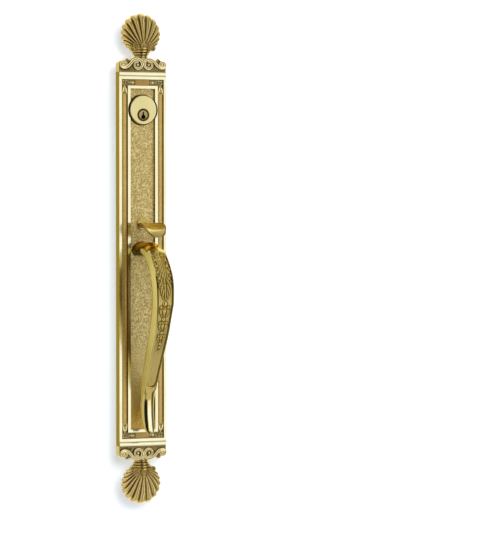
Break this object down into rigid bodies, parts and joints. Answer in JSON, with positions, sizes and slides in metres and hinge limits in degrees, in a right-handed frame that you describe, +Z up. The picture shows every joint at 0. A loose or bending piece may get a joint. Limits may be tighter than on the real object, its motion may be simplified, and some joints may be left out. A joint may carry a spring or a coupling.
{
  "type": "entry door handleset",
  "caption": "Long framed brass door plate with scroll crests and shell finials, a curved carved grip, a thumbpiece that presses down and a key cylinder that turns.",
  "frame": {"origin": "middle of the plate's rear face, which lies on the door", "axes": "+X to the right seen from outside, +Y into the door, +Z up"},
  "size_m": [0.0616, 0.1161, 0.6008],
  "materials": {
    "plate_brass": "bright borders with a dull stippled field and darkened recesses",
    "polished_brass": "polished",
    "ornament_brass": "polished relief with darkened recesses",
    "cylinder_brass": "satin",
    "dark_brass": "darkened",
    "steel": "plain"
  },
  "bodies": {
    "plate": {"backplate": "plate_brass", "mounting_posts": "steel", "cylinder_body": "cylinder_brass", "chamber_cap": "cylinder_brass", "cylinder_collar": "dark_brass", "driver_pins": "cylinder_brass", "pin_springs": "steel", "thumb_hub": "polished_brass", "thumb_pivot_pin": "steel", "thumb_spring": "steel", "spring_screw": "steel", "grip": "polished_brass", "grip_screws": "steel", "crest_top": "ornament_brass", "crest_bottom": "ornament_brass", "shell_top": "ornament_brass", "shell_bottom": "ornament_brass", "finial_studs": "steel", "crest_screws": "steel"},
    "plug": {"cylinder_plug": "cylinder_brass", "key_pins": "cylinder_brass", "cylinder_cam": "steel", "cam_screws": "steel"},
    "thumb": {"thumbpiece": "polished_brass"}
  },
  "joints": [
    {"name": "thumb_press", "type": "hinge", "parent": "plate", "child": "thumb", "pos_m": [0, -0.0022, 0.0402], "axis": [1, 0, 0], "range_deg": [0, 13], "stiffness_Nm_per_rad": 0.5, "springref_deg": -6.88, "deforming": ["thumb_spring"]},
    {"name": "plug_turn", "type": "hinge", "parent": "plate", "child": "plug", "pos_m": [0, -0.0134, 0.1762], "axis": [0, 1, 0], "continuous": true}
  ]
}
